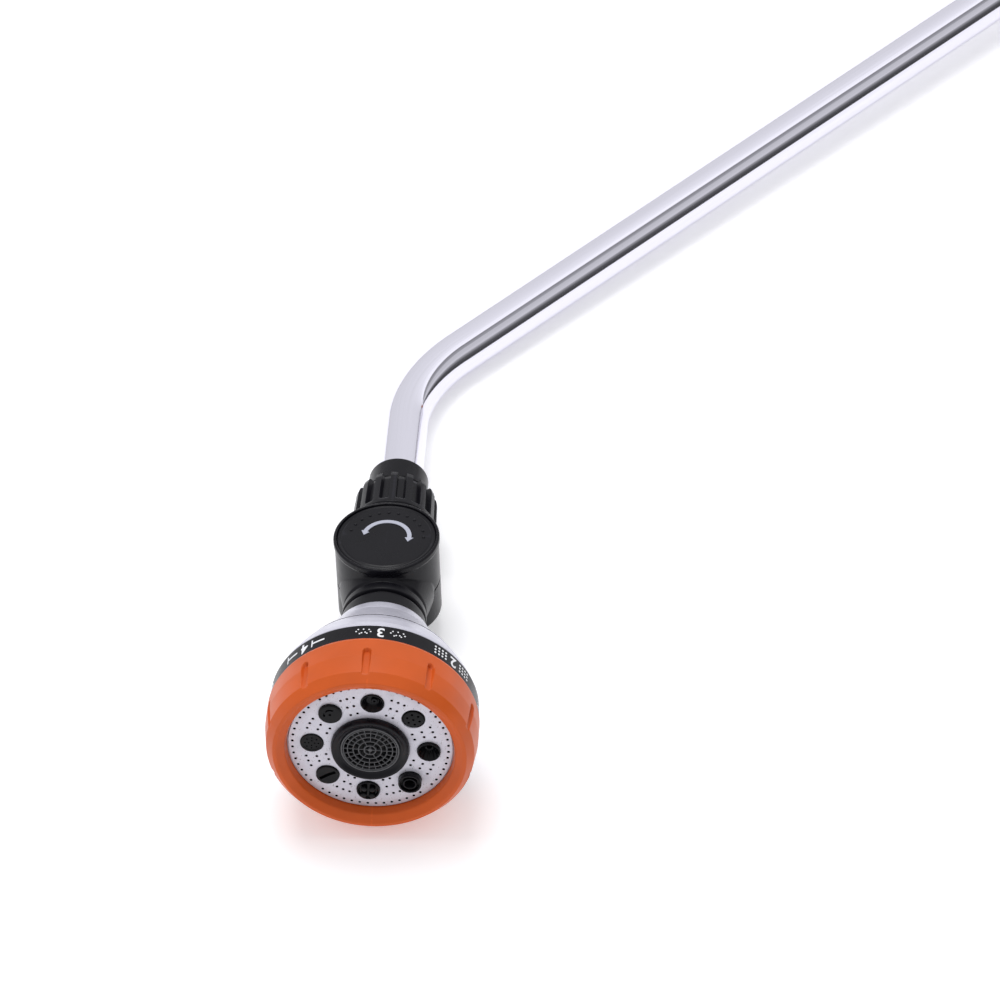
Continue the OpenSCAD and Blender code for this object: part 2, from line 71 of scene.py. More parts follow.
HEAD = basis(pivot, tilt_side, pivot_axis, head_axis)
DIAL = HEAD @ Matrix.Rotation(DIAL_TURN, 4, "Z")
PIVOT = basis(pivot, tilt_side, -head_axis, pivot_axis)
TAIL = HEAD @ Matrix.Rotation(math.pi, 4, "X")
HANDLE = Matrix.Rotation(math.pi / 2, 4, "Y")

# ---------------------------------------------------------------- main sizes, as in the CAD model

# Tube, from the valve at the back to the seat in the pivot
TUBE_R = 9.0
TUBE_WALL = 1.0
TUBE_RUN = 600.0
TUBE_END = -192.0
TUBE_STOP = 27.5
BEND_R = 55.0

# Stations along the head's axis, measured from the pivot, and radii about it
BEZEL_R = 38.3
BEZEL_START = 77.6
LABEL_START = 70.3
FACE_Z = 93.2
PLATE_BACK = 91.4
LIP_R = 29.9
PORT_CIRCLE_R = 21.0
PORT_R = 4.25
HOLE_R = 0.5
PATTERNS = 8
STEP = 2 * math.pi / PATTERNS

# Pivot housing, lock nut and collet
HOUSING_R = 19.3
CAP_TOP = 19.2
NUT_START = 24.1
NUT_END = 43.4
NUT_R = 16.1
NUT_RIBS = 16
COLLET_R = 11.3
COLLET_END = 56.0

# ---------------------------------------------------------------- mesh helpers


def link(mesh, name):
    """An object for the mesh, in the scene."""
    obj = bpy.data.objects.new(name, mesh)
    bpy.context.scene.collection.objects.link(obj)
    return obj


def make(name, verts, faces, matrix=None, smooth=True):
    """A mesh object from millimetre points in a local frame."""
    mesh = bpy.data.meshes.new(name)
    place = matrix or Matrix.Identity(4)
    spots = [place @ (Vector(v) * MM) for v in verts]
    mesh.from_pydata([tuple(p) for p in spots], [], faces)
    mesh.update()
    if smooth:
        mesh.shade_smooth()
    return link(mesh, name)


def rounded(points, arc_steps=5):
    """Corners given as (r, z, radius) become short arcs; a radius of 0 stays a corner."""
    out = []
    count = len(points)
    for i, (r, z, fillet) in enumerate(points):
        here = Vector((r, z))
        if fillet <= 0:
            out.append((r, z))
            continue
        before = Vector(points[(i - 1) % count][:2]) - here
        after = Vector(points[(i + 1) % count][:2]) - here
        half = before.angle(after) / 2
        reach = min(fillet / math.tan(half), before.length * 0.49, after.length * 0.49)
        radius = reach * math.tan(half)
        a = here + before.normalized() * reach
        b = here + after.normalized() * reach
        centre = here + (before.normalized() + after.normalized()).normalized() * (radius / math.sin(half))
        start = a - centre
        turn = start.angle_signed(b - centre)
        for k in range(arc_steps + 1):
            p = centre + Matrix.Rotation(-turn * k / arc_steps, 2) @ start
            out.append((p.x, p.y))
    return out


def divided(points, longest=1.5, closed=True):
    """Adds points so that no stretch of the outline is longer than this."""
    out = []
    ends = len(points) if closed else len(points) - 1
    for i in range(ends):
        a = points[i]
        b = points[(i + 1) % len(points)]
        n = max(1, math.ceil(math.dist(a, b) / longest))
        out += [(a[0] + (b[0] - a[0]) * k / n, a[1] + (b[1] - a[1]) * k / n) for k in range(n)]
    return out if closed else out + [points[-1]]


def polar(r, angle, x=0.0, y=0.0):
    """The point at a radius and an angle about (x, y)."""
    return x + r * math.cos(angle), y + r * math.sin(angle)


def even_angles(count):
    return [2 * math.pi * i / count for i in range(count)]


def swept(outline, angles, shape):
    """The outline's points at each angle about the local Z axis. shape(angle, r, z) may move a point."""
    points = []
    for a in angles:
        for r, z in outline:
            if shape:
                r, z = shape(a, r, z)
            points.append((r * math.cos(a), r * math.sin(a), z))
    return points


def lathe(name, profile, matrix, segments=SEGMENTS, shape=None, longest=1.5, angles=None):
    """Turns a closed outline of (r, z) points about the local Z axis."""
    outline = divided(profile, longest)
    count = len(outline)
    angles = angles or even_angles(segments)
    segments = len(angles)
    verts = swept(outline, angles, shape)
    faces = []
    for i in range(segments):
        n = (i + 1) % segments
        for j in range(count):
            k = (j + 1) % count
            faces.append((i * count + j, n * count + j, n * count + k, i * count + k))
    return outward(make(name, verts, faces, matrix))


def solid(name, profile, matrix, segments=SEGMENTS, shape=None, longest=1.5):
    """Turns an open outline that starts and ends on the axis into a closed solid."""
    outline = divided(profile, longest, closed=False)[1:-1]
    count = len(outline)
    ends = [(0, 0, profile[0][1]), (0, 0, profile[-1][1])]
    verts = ends + swept(outline, even_angles(segments), shape)
    faces = []
    for i in range(segments):
        here, there = 2 + i * count, 2 + (i + 1) % segments * count
        for j in range(count - 1):
            faces.append((here + j, there + j, there + j + 1, here + j + 1))
        faces.append((0, there, here))
        faces.append((1, here + count - 1, there + count - 1))
    return outward(make(name, verts, faces, matrix))


def outward(obj):
    """Makes every face look out."""
    bm = bmesh.new()
    bm.from_mesh(obj.data)
    bmesh.ops.recalc_face_normals(bm, faces=bm.faces)
    bm.to_mesh(obj.data)
    bm.free()
    return obj


def join(name, objects):
    """Joins several meshes into one object."""
    bpy.ops.object.select_all(action="DESELECT")
    for o in objects:
        o.select_set(True)
    bpy.context.view_layer.objects.active = objects[0]
    bpy.ops.object.join()
    objects[0].name = name
    objects[0].data.name = name
    return objects[0]


def apply_all(obj):
    """Turns the modifiers into plain mesh."""
    graph = bpy.context.evaluated_depsgraph_get()
    mesh = bpy.data.meshes.new_from_object(obj.evaluated_get(graph))
    obj.modifiers.clear()
    obj.data = mesh
    return obj


def cut(obj, cutter):
    """Takes the cutter's shape out of the object."""
    mod = obj.modifiers.new("cut", "BOOLEAN")
    mod.operation = "DIFFERENCE"
    mod.solver = "EXACT"
    mod.object = cutter
    apply_all(obj)
    bpy.data.objects.remove(cutter)
    return obj


def bar(name, size, matrix, bevel=0.15):
    """A block with soft edges, centred on the local origin."""
    x, y, z = (s / 2 for s in size)
    verts = [(sx * x, sy * y, sz * z) for sx in (-1, 1) for sy in (-1, 1) for sz in (-1, 1)]
    faces = [(0, 1, 3, 2), (4, 6, 7, 5), (0, 4, 5, 1), (2, 3, 7, 6), (0, 2, 6, 4), (1, 5, 7, 3)]
    obj = outward(make(name, verts, faces, matrix, smooth=False))
    if bevel:
        mod = obj.modifiers.new("bevel", "BEVEL")
        mod.width = bevel * MM
        mod.segments = 3
        apply_all(obj)
        obj.data.shade_smooth()
    return obj


def moved(matrix, x=0, y=0, z=0, turn=0):
    """A frame turned about the given one's Z axis and then shifted along its own axes."""
    return matrix @ Matrix.Rotation(turn, 4, "Z") @ Matrix.Translation(Vector((x, y, z)) * MM)


def moulded_copy(node, name, voxel, rounds):
    """A copy of a CAD node with the soft corners of a moulded part."""
    source = frame["nodes"][node]
    obj = link(source.data.copy(), name)
    bm = bmesh.new()
    bm.from_mesh(obj.data)
    bmesh.ops.remove_doubles(bm, verts=bm.verts, dist=1e-6)
    bm.to_mesh(obj.data)
    bm.free()
    obj.data.materials.clear()
    mod = obj.modifiers.new("remesh", "REMESH")
    mod.mode = "VOXEL"
    mod.voxel_size = voxel * MM
    soft = obj.modifiers.new("soften", "SMOOTH")
    soft.factor = 0.5
    soft.iterations = rounds
    apply_all(obj)
    obj.data.shade_smooth()
    return obj


# ---------------------------------------------------------------- materials


def start(name, colour, roughness, metallic=0.0, specular=0.5):
    """A node material with a principled shader, and its tree and shader for more nodes."""
    mat = bpy.data.materials.new(name)
    mat.use_nodes = True
    tree = mat.node_tree
    shader = tree.nodes["Principled BSDF"]
    shader.inputs["Base Color"].default_value = (*colour, 1)
    shader.inputs["Roughness"].default_value = roughness
    shader.inputs["Metallic"].default_value = metallic
    shader.inputs["Specular IOR Level"].default_value = specular
    return mat, tree, shader


def add(tree, kind, inputs=None, **settings):
    """A node with its settings, and its inputs given as numbers or as sockets to link from."""
    made = tree.nodes.new(kind)
    for key, value in settings.items():
        setattr(made, key, value)
    for key, value in (inputs or {}).items():
        if isinstance(value, bpy.types.NodeSocket):
            tree.links.new(value, made.inputs[key])
        else:
            made.inputs[key].default_value = value
    return made


def place(tree, stretch=(1, 1, 1), source="Object", turn=(0, 0, 0)):
    """Coordinates for a texture, in metres on the object, stretched or turned as asked."""
    spot = add(tree, "ShaderNodeTexCoord").outputs[source]
    inputs = {"Vector": spot, "Scale": stretch, "Rotation": turn}
    return add(tree, "ShaderNodeMapping", inputs).outputs["Vector"]


def noise(tree, scale, detail=3.0, spot=None):
    """A noise value, on the object's own metres unless other coordinates are given."""
    inputs = {"Vector": spot or place(tree), "Scale": scale, "Detail": detail}
    return add(tree, "ShaderNodeTexNoise", inputs).outputs["Fac"]


def span(tree, value, low, high, to_low, to_high):
    """Maps one range of a value onto another, clamped."""
    inputs = {"Value": value, "From Min": low, "From Max": high, "To Min": to_low, "To Max": to_high}
    return add(tree, "ShaderNodeMapRange", inputs).outputs["Result"]


def blend_colour(tree, amount, one, other):
    """Mixes two colours, each given as numbers or as a socket."""
    inputs = {0: amount}
    for index, colour in ((6, one), (7, other)):
        inputs[index] = colour if isinstance(colour, bpy.types.NodeSocket) else (*colour, 1)
    return add(tree, "ShaderNodeMix", inputs, data_type="RGBA").outputs[2]


def tint(colour, factor):
    """The colour made lighter or darker by a factor."""
    return tuple(min(1.0, c * factor) for c in colour)


def relief(tree, shader, height, strength, depth_mm):
    """Fine surface relief through the shader's normal."""
    inputs = {"Height": height, "Strength": strength, "Distance": depth_mm * MM}
    bump = add(tree, "ShaderNodeBump", inputs)
    tree.links.new(bump.outputs["Normal"], shader.inputs["Normal"])


def worn_edges(tree):
    """High on sharp outer edges, where handling has rubbed the surface."""
    point = add(tree, "ShaderNodeNewGeometry").outputs["Pointiness"]
    return span(tree, point, 0.52, 0.62, 0.0, 1.0)


def moulded_plastic(name, colour, roughness, grain_mm=0.35, grain=0.25, patchy=0.12, rub=3.0, specular=0.5):
    """Injection-moulded plastic: spark-eroded grain, slow colour drift, paler rubbed edges."""
    mat, tree, shader = start(name, colour, roughness, specular=specular)
    drift = noise(tree, 55, 2.0)
    patch = span(tree, drift, 0.35, 0.65, 0, 1)
    tone = blend_colour(tree, patch, tint(colour, 1 - patchy), tint(colour, 1 + patchy))
    edges = add(tree, "ShaderNodeMath", {0: worn_edges(tree), 1: noise(tree, 600)}, operation="MULTIPLY")
    worn = blend_colour(tree, edges.outputs[0], tone, tint(colour, rub))
    tree.links.new(worn, shader.inputs["Base Color"])
    shine = span(tree, noise(tree, 130, 4.0), 0.3, 0.7, roughness * 0.88, roughness * 1.14)
    tree.links.new(shine, shader.inputs["Roughness"])
    relief(tree, shader, noise(tree, 1 / (grain_mm * MM), 2.0), grain, 0.04)
    return mat


def silver_paint(name, colour, roughness, metallic, scratches):
    """Silver-pigmented plastic: fine flake, hairline scratches in two directions, faint smudges."""
    mat, tree, shader = start(name, colour, roughness, metallic)
    flake = span(tree, noise(tree, 5200, 1.0), 0.3, 0.7, 0.0, 1.0)
    base = blend_colour(tree, flake, tint(colour, 0.93), tint(colour, 1.05))
    lines_a = noise(tree, 1, 2.0, place(tree, (90, 2600, 900), turn=(0.3, 0.5, 0.9)))
    lines_b = noise(tree, 1, 2.0, place(tree, (2400, 110, 800), turn=(0.8, 0.2, 0.3)))
    both = add(tree, "ShaderNodeMath", {0: lines_a, 1: lines_b}, operation="MAXIMUM").outputs[0]
    marks = span(tree, both, 0.62, 0.72, 0.0, scratches)
    bright_then_dark = blend_colour(tree, marks, (1, 1, 1), tint(colour, 0.55))
    scratched = blend_colour(tree, marks, base, bright_then_dark)
    smudge = span(tree, noise(tree, 95, 5.0), 0.55, 0.75, 0.0, 0.35 * scratches)
    grubby = blend_colour(tree, smudge, scratched, tint(colour, 0.6))
    tree.links.new(grubby, shader.inputs["Base Color"])
    shine = span(tree, noise(tree, 160, 4.0), 0.3, 0.7, roughness * 0.85, roughness * 1.2)
    tree.links.new(shine, shader.inputs["Roughness"])
    relief(tree, shader, both, 0.12, 0.02)
    return mat


def drawn_tube(name, colour):
    """Polished drawn aluminium: hairlines along the tube, carried by the sweep's own coordinates."""
    mat, tree, shader = start(name, colour, 0.08, 1.0)
    along = place(tree, (9, 420, 1), source="UV")
    hair = noise(tree, 1, 4.0, along)
    tone = blend_colour(tree, span(tree, hair, 0.3, 0.7, 0, 1), tint(colour, 0.93), tint(colour, 1.03))
    tree.links.new(tone, shader.inputs["Base Color"])
    shine = span(tree, noise(tree, 1, 3.0, place(tree, (30, 160, 1), source="UV")), 0.3, 0.7, 0.05, 0.1)
    tree.links.new(shine, shader.inputs["Roughness"])
    relief(tree, shader, hair, 0.08, 0.02)
    return mat


def metal(name, colour, roughness):
    """Turned metal with fine rings and a slow change of shine."""
    mat, tree, shader = start(name, colour, roughness, 1.0)
    rings = noise(tree, 900, 2.0)
    tone = blend_colour(tree, rings, tint(colour, 0.88), tint(colour, 1.06))
    tree.links.new(tone, shader.inputs["Base Color"])
    shine = span(tree, noise(tree, 250, 3.0), 0.3, 0.7, roughness * 0.8, roughness * 1.25)
    tree.links.new(shine, shader.inputs["Roughness"])
    relief(tree, shader, rings, 0.1, 0.02)
    return mat


def rubber(name, colour, roughness, pores):
    """Soft rubber with a dull bloom and fine pores."""
    mat, tree, shader = start(name, colour, roughness, specular=0.25)
    bloom = span(tree, noise(tree, 70, 4.0), 0.35, 0.7, 0.0, 1.0)
    tone = blend_colour(tree, bloom, colour, tint(colour, 1.5))
    tree.links.new(tone, shader.inputs["Base Color"])
    shader.inputs["Sheen Weight"].default_value = 0.08
    relief(tree, shader, noise(tree, 2200, 2.0), pores, 0.05)
    return mat


def printed(name, colour):
    """Pad-printed ink with slightly broken cover."""
    mat, tree, shader = start(name, colour, 0.5)
    cover = span(tree, noise(tree, 1500, 3.0), 0.25, 0.4, 0.0, 1.0)
    tone = blend_colour(tree, cover, tint(colour, 0.75), colour)
    tree.links.new(tone, shader.inputs["Base Color"])
    relief(tree, shader, cover, 0.1, 0.02)
    return mat


MATERIALS = {
    "housing_black": moulded_plastic("housing_black", (0.0062, 0.006, 0.0085), 0.29, specular=0.17),
    "insert_black": moulded_plastic("insert_black", (0.003, 0.003, 0.004), 0.24, 0.6, 0.1, specular=0.16),
    "mesh_grey": moulded_plastic("mesh_grey", (0.055, 0.055, 0.06), 0.4, 0.4, 0.1, 0.1, 1.4),
    "dial_orange": moulded_plastic("dial_orange", (0.60, 0.098, 0.013), 0.38, 0.3, 0.2, 0.06, 1.2, 0.25),
    "shell_silver": silver_paint("shell_silver", (0.56, 0.555, 0.64), 0.34, 0.35, 0.3),
    "plate_silver": silver_paint("plate_silver", (0.62, 0.61, 0.68), 0.42, 0.3, 1.2),
    "tube_aluminium": drawn_tube("tube_aluminium", (0.79, 0.78, 0.87)),
    "seal_rubber": rubber("seal_rubber", (0.008, 0.008, 0.009), 0.45, 0.15),
    "grip_rubber": rubber("grip_rubber", (0.011, 0.011, 0.013), 0.6, 0.5),
    "steel": metal("steel", (0.56, 0.57, 0.6), 0.3),
    "brass": metal("brass", (0.74, 0.53, 0.22), 0.28),
    "seat_ptfe": moulded_plastic("seat_ptfe", (0.82, 0.81, 0.77), 0.45, 0.5, 0.1, 0.03, 1.05),
    "print_white": printed("print_white", (0.86, 0.87, 0.9)),
    "arrow_silver": printed("arrow_silver", (0.44, 0.455, 0.54)),
}


def dress(obj, body, slot, *nodes, look=None):
    """Gives a piece its material and its body, and hides the CAD nodes it stands for."""
    obj.data.materials.clear()
    obj.data.materials.append(MATERIALS[look or slot])
    if nodes:
        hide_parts(*nodes)
    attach(obj, body)
    return obj


def dress_cad_nodes():
    """Gives every CAD node its procedural material by the record's slot."""
    for part in frame["record"]["subparts"]:
        node = frame["nodes"][part["node"]]
        node.data.materials.clear()
        node.data.materials.append(MATERIALS[part["material_slot"]])


# ---------------------------------------------------------------- tube

RUN_STEPS = 24
BEND_STEPS = 48


def tube_path():
    """Points and directions of the centre line: straight handle run, the bend, straight run to the pivot."""
    corner = Vector((-TUBE_RUN, 0, 0))
    back = Vector((1, 0, 0))
    ahead = (pivot / MM - corner).normalized()
    tip = pivot / MM - ahead * TUBE_STOP
    half_inside = back.angle(ahead) / 2
    centre = corner + (back + ahead).normalized() * (BEND_R / math.sin(half_inside))
    first = corner + back * (BEND_R / math.tan(half_inside))
    last = corner + ahead * (BEND_R / math.tan(half_inside))
    axis = (first - centre).cross(last - centre).normalized()
    sweep = (first - centre).angle(last - centre)
    points = []
    for i in range(RUN_STEPS + 1):
        points.append((Vector((TUBE_END + (first.x - TUBE_END) * i / RUN_STEPS, 0, 0)), -back))
    for i in range(1, BEND_STEPS + 1):
        turn = Matrix.Rotation(sweep * i / BEND_STEPS, 3, axis)
        points.append((centre + turn @ (first - centre), turn @ -back))
    for i in range(1, RUN_STEPS + 1):
        points.append((last + (tip - last) * i / RUN_STEPS, ahead))
    return points, axis


def make_tube(sides=144):
    """Sweeps the outer wall and the bore along the path and closes both ends."""
    points, side = tube_path()
    verts, uvs = [], []
    for wall in (TUBE_R, TUBE_R - TUBE_WALL):
        length = 0.0
        for index, (spot, direction) in enumerate(points):
            other = direction.cross(side).normalized()
            length += (spot - points[index - 1][0]).length if index else 0.0
            for k in range(sides):
                turn = 2 * math.pi * k / sides
                verts.append(spot + (side * math.cos(turn) + other * math.sin(turn)) * wall)
                uvs.append((length * MM, k / sides))
    count = len(points)
    inner = count * sides
    faces = []
    for k in range(sides):
        n = (k + 1) % sides
        for start_at in (0, inner):
            for i in range(count - 1):
                a, b = start_at + i * sides, start_at + (i + 1) * sides
                faces.append((a + k, a + n, b + n, b + k))
        for i in (0, (count - 1) * sides):
            faces.append((i + k, i + n, inner + i + n, inner + i + k))
    obj = make("tube_skin", verts, faces)
    layer = obj.data.uv_layers.new(name="along")
    for poly in obj.data.polygons:
        around = [uvs[obj.data.loops[i].vertex_index] for i in poly.loop_indices]
        wraps = max(v for _, v in around) - min(v for _, v in around) > 0.5
        for i, (u, v) in zip(poly.loop_indices, around):
            layer.data[i].uv = (u, v + 1 if wraps and v < 0.5 else v)
    outward(obj)
    obj.data.set_sharp_from_angle(angle=math.radians(40))
    return dress(obj, "handle", "tube_aluminium", "tube")


# ---------------------------------------------------------------- pattern dial

BEZEL_GROOVES = 10
GROOVE_BACK = 83.4
GROOVE_FRONT = 96.0
GROOVE_HALF = 1.6
GROOVE_DEPTH = 1.55
GROOVE_WALL = 0.4
GROOVE_PITCH = 2 * math.pi / BEZEL_GROOVES
GROOVE_FIRST = math.radians(18) - DIAL_TURN
BEZEL_BORE_R = 33.0
CREASE_Z = 94.8
FRONT_Z = 98.4


def groove_depth(x, z):
    """Depth of a finger groove at a sideways distance x and a station z along the dial."""
    over = max(0.0, GROOVE_BACK + GROOVE_HALF - z)
    reach = math.hypot(x, over)
    if reach >= GROOVE_HALF or z > GROOVE_FRONT:
        return 0.0
    wall = (GROOVE_HALF - reach) / GROOVE_WALL
    floor = 1 - 0.2 * (x / GROOVE_HALF) ** 2
    return GROOVE_DEPTH * min(1.0, wall) * floor


def grooved(angle, r, z):
    """Presses the finger grooves into the bezel's outer wall."""
    if r < BEZEL_BORE_R or z < GROOVE_BACK:
        return r, z
    off = (angle - GROOVE_FIRST + GROOVE_PITCH / 2) % GROOVE_PITCH - GROOVE_PITCH / 2
    floor = BEZEL_R - groove_depth(off * r, z)
    if floor >= BEZEL_R:
        return r, z
    return min(r, floor), z


def groove_angles():
    """Angles round the bezel, close together across each groove and wider between them."""
    pitch = 2 * math.pi / BEZEL_GROOVES
    first = math.radians(18) - DIAL_TURN
    across = 2.3 / BEZEL_R
    angles = []
    for k in range(BEZEL_GROOVES):
        mid = first + k * pitch
        angles += [mid - across + 2 * across * i / 26 for i in range(27)]
        angles += [mid + across + (pitch - 2 * across) * i / 12 for i in range(1, 12)]
    return angles


def make_bezel():
    outline = rounded([
        (34.6, BEZEL_START, 0.2), (BEZEL_R - 0.5, BEZEL_START, 0.35), (BEZEL_R, BEZEL_START + 1.2, 0.8),
        (BEZEL_R, 87, 6), (BEZEL_R - 1, CREASE_Z, 0.35), (BEZEL_R - 3.6, FRONT_Z - 0.15, 0.5),
        (BEZEL_R - 4.9, FRONT_Z - 0.05, 0.8), (LIP_R + 0.6, FRONT_Z - 2, 1.2), (LIP_R, PLATE_BACK + 2, 0.5),
        (LIP_R, PLATE_BACK + 1.2, 0.1), (33, PLATE_BACK + 1.2, 0.1), (33, 80, 0.1), (34.6, 79.2, 0.1)])
    angles = groove_angles()
    obj = lathe("dial_bezel", outline, DIAL, shape=grooved, longest=0.4, angles=angles)
    obj.data.set_sharp_from_angle(angle=math.radians(50))
    return dress(obj, "dial", "dial_orange", "bezel")


def make_label_band():
    outline = rounded([(34.6, LABEL_START, 0.1), (37.3, LABEL_START, 0.3), (37.7, LABEL_START + 0.5, 0.3),
                       (37.7, BEZEL_START, 0.0), (34.6, BEZEL_START, 0.0)])
    obj = lathe("label_band", outline, DIAL)
    obj.data.set_sharp_from_angle(angle=math.radians(50))
    return dress(obj, "dial", "housing_black", "label_ring")


LABEL_R = 37.72
LABEL_MID = (LABEL_START + BEZEL_START) / 2 + 0.1


def wrap(obj, angle, lift=0.1):
    """Bends a flat print, drawn in millimetres about the origin, round the label band."""
    for v in obj.data.vertices:
        a = angle + v.co.x / LABEL_R
        r = LABEL_R + (lift if v.co.z > 0 else -0.1)
        spot = DIAL @ (Vector((r * math.cos(a), r * math.sin(a), LABEL_MID + v.co.y)) * MM)
        v.co = spot
    return obj


def numeral(text, size):
    """A digit as a mesh of small triangles, centred, in millimetres."""
    curve = bpy.data.curves.new("digit", "FONT")
    curve.body = text
    curve.size = size
    curve.extrude = 0.1
    curve.offset = 0.11
    curve.align_x = "CENTER"
    curve.align_y = "CENTER"
    curve.resolution_u = 6
    shown = bpy.data.objects.new("digit", curve)
    bpy.context.scene.collection.objects.link(shown)
    bpy.context.view_layer.update()
    graph = bpy.context.evaluated_depsgraph_get()
    mesh = bpy.data.meshes.new_from_object(shown.evaluated_get(graph))
    bpy.data.objects.remove(shown)
    return link(mesh, "digit")


def plate_shape(name, points, height=0.1):
    """A flat outline given thickness, for the printed pictures."""
    count = len(points)
    verts = [(x, y, -height) for x, y in points] + [(x, y, height) for x, y in points]
    faces = [tuple(reversed(range(count))), tuple(range(count, 2 * count))]
    faces += [(i, (i + 1) % count, count + (i + 1) % count, count + i) for i in range(count)]
    mesh = bpy.data.meshes.new(name)
    mesh.from_pydata(verts, [], faces)
    mesh.update()
    return link(mesh, name)


def dot(x, y, r=0.42):
    return plate_shape("mark", [polar(r, k * math.pi / 6, x, y) for k in range(12)])


def stroke(x0, y0, x1, y1, w=0.5):
    d = Vector((x1 - x0, y1 - y0)).normalized()
    n = Vector((-d.y, d.x)) * w / 2
    long = math.dist((x0, y0), (x1, y1))
    steps = max(1, round(long / 1.2))
    left = [(x0 + (x1 - x0) * i / steps + n.x, y0 + (y1 - y0) * i / steps + n.y) for i in range(steps + 1)]
    right = [(x0 + (x1 - x0) * i / steps - n.x, y0 + (y1 - y0) * i / steps - n.y) for i in range(steps + 1)]
    return plate_shape("mark", right + left[::-1])


def arc_stroke(x, y, r, a0, a1, w=0.5):
    steps = 12
    angles = [a0 + (a1 - a0) * i / steps for i in range(steps + 1)]
    outer = [polar(r + w / 2, a, x, y) for a in angles]
    inner = [polar(r - w / 2, a, x, y) for a in angles]
    return plate_shape("mark", outer + inner[::-1])


def pictures(index):
    """A small picture of each spray pattern, made of dots and strokes, about the origin."""
    if index == 0:
        return [stroke(-2.6, 0, 2.4, s * 1.7) for s in (-1, 0, 1)]
    if index == 1:
        return [dot(x, y) for x in (-2.4, -0.8, 0.8, 2.4) for y in (-1.5, 0, 1.5)]
    if index == 2:
        return [dot(-2.6 + 1.3 * i, 1.3 * math.sin(2.4 * i), 0.3) for i in range(5)] + \
               [dot(-2 + 1.3 * i, -1.3 * math.sin(2.4 * i + 1), 0.3) for i in range(4)]
    if index == 3:
        return [stroke(-2.6, 0, 2.6, 0, 0.7), stroke(2.6, -1.7, 2.6, 1.7)]
    if index == 4:
        halves = [arc_stroke(0, 0, 1.6, a, a + math.pi, 0.55) for a in (0, math.pi)]
        return halves + [dot(0, 0, 0.5)]
    if index == 5:
        return [stroke(-2.6, 0, 2.4, s * 1.7, 0.45) for s in (-1, 1)] + [stroke(2.4, -1.7, 2.4, 1.7, 0.45)]
    if index == 6:
        return [stroke(-2.4, 1.6, -0.4, -0.2), stroke(-0.4, -0.2, 2.4, -0.2), dot(2.4, 1.5)]
    return [stroke(-2.8, 0, 1.6, 0, 0.8), dot(2.7, 0, 0.55)]


def make_labels():
    """Numbers 1 to 8 with a picture on each side, printed round the band in white."""
    marks = []
    for i in range(PATTERNS):
        angle = i * STEP - math.radians(1.5)
        marks.append(wrap(numeral(str(i + 1), 6.4), angle))
        for side in (-1, 1):
            marks += [wrap(m, angle + side * 6.2 / LABEL_R) for m in pictures(i)]
    obj = join("dial_numbers", marks)
    return dress(obj, "dial", "print_white")


def plate_top(r):
    """Height of the slightly dished face plate at a radius."""
    return 93.65 - 0.55 * (r - 13.6) / (29.5 - 13.6)


def hole_spots():
    """Shower holes as (radius, angle): an outer ring with four gaps and seven between each two ports."""
    spots = [(28.0, math.radians(6 * i)) for i in range(60) if i % 15 != 8]
    for k in range(PATTERNS):
        mid = (k + 0.5) * STEP
        spots += [(23.8, mid + math.radians(a)) for a in (-6, 0, 6)]
        spots += [(20.1, mid + math.radians(a)) for a in (-3.5, 3.5)]
        spots += [(16.5, mid + math.radians(a)) for a in (-4.5, 4.5)]
    return spots


def plate_drill(r, depth, flare, from_axis, angle, segments):
    """A cutter for one opening of the face plate, widening by flare over the last bit of its depth."""
    top = plate_top(from_axis)
    side = [(0, 90), (r, 90), (r, top - depth), (r + flare, top + 0.02), (r + flare, 96), (0, 96)]
    return solid("drill", side, moved(DIAL, from_axis, turn=angle), segments=segments, longest=9)


def make_face_plate():
    """The perforated plate of the dial. The walls of its openings get the black insert material: painted shade, so
    that the holes read dark.
    """
    outline = rounded([(13.7, PLATE_BACK, 0.05), (32.8, PLATE_BACK, 0.05), (32.8, 92.5, 0.05),
                       (29.7, 92.5, 0.05),
                       (29.5, 93.1, 0.2), (13.7, 93.65, 0.1)])
    obj = lathe("face_disc", outline, DIAL, segments=144, longest=8)
    cutters = [plate_drill(HOLE_R, 0.1, 0.08, r, a, 16) for r, a in hole_spots()]
    cutters += [plate_drill(PORT_R, 0.15, 0.15, PORT_CIRCLE_R, i * STEP, 56) for i in range(PATTERNS)]
    cut(obj, join("cutters", cutters))
    obj.data.shade_smooth()
    obj.data.set_sharp_from_angle(angle=math.radians(25))
    dress(obj, "dial", "plate_silver", "face_plate")
    # Painted shade: the side walls of the holes and ports take the black insert material.
    obj.data.materials.append(MATERIALS["insert_black"])
    axis = DIAL.to_3x3() @ Vector((0, 0, 1))
    for poly in obj.data.polygons:
        across = DIAL.inverted() @ (obj.matrix_world @ poly.center)
        if abs(poly.normal.dot(axis)) < 0.3 and math.hypot(across.x, across.y) < (LIP_R - 0.5) * MM:
            poly.material_index = 1
    return obj


def make_centre_ring():
    outline = rounded([
        (10.7, PLATE_BACK, 0.1), (13.5, PLATE_BACK, 0.1), (13.5, 93.75, 0.05), (14.2, 93.75, 0.15),
        (14.15, 94.6, 0.3), (13.7, 96.1, 0.45), (12.9, 96.15, 0.35), (11.6, 95.2, 0.5), (10.7, 94.9, 0.2)])
    obj = lathe("centre_rim", outline, DIAL, longest=0.8)
    obj.data.set_sharp_from_angle(angle=math.radians(50))
    return dress(obj, "dial", "housing_black", "centre_ring")


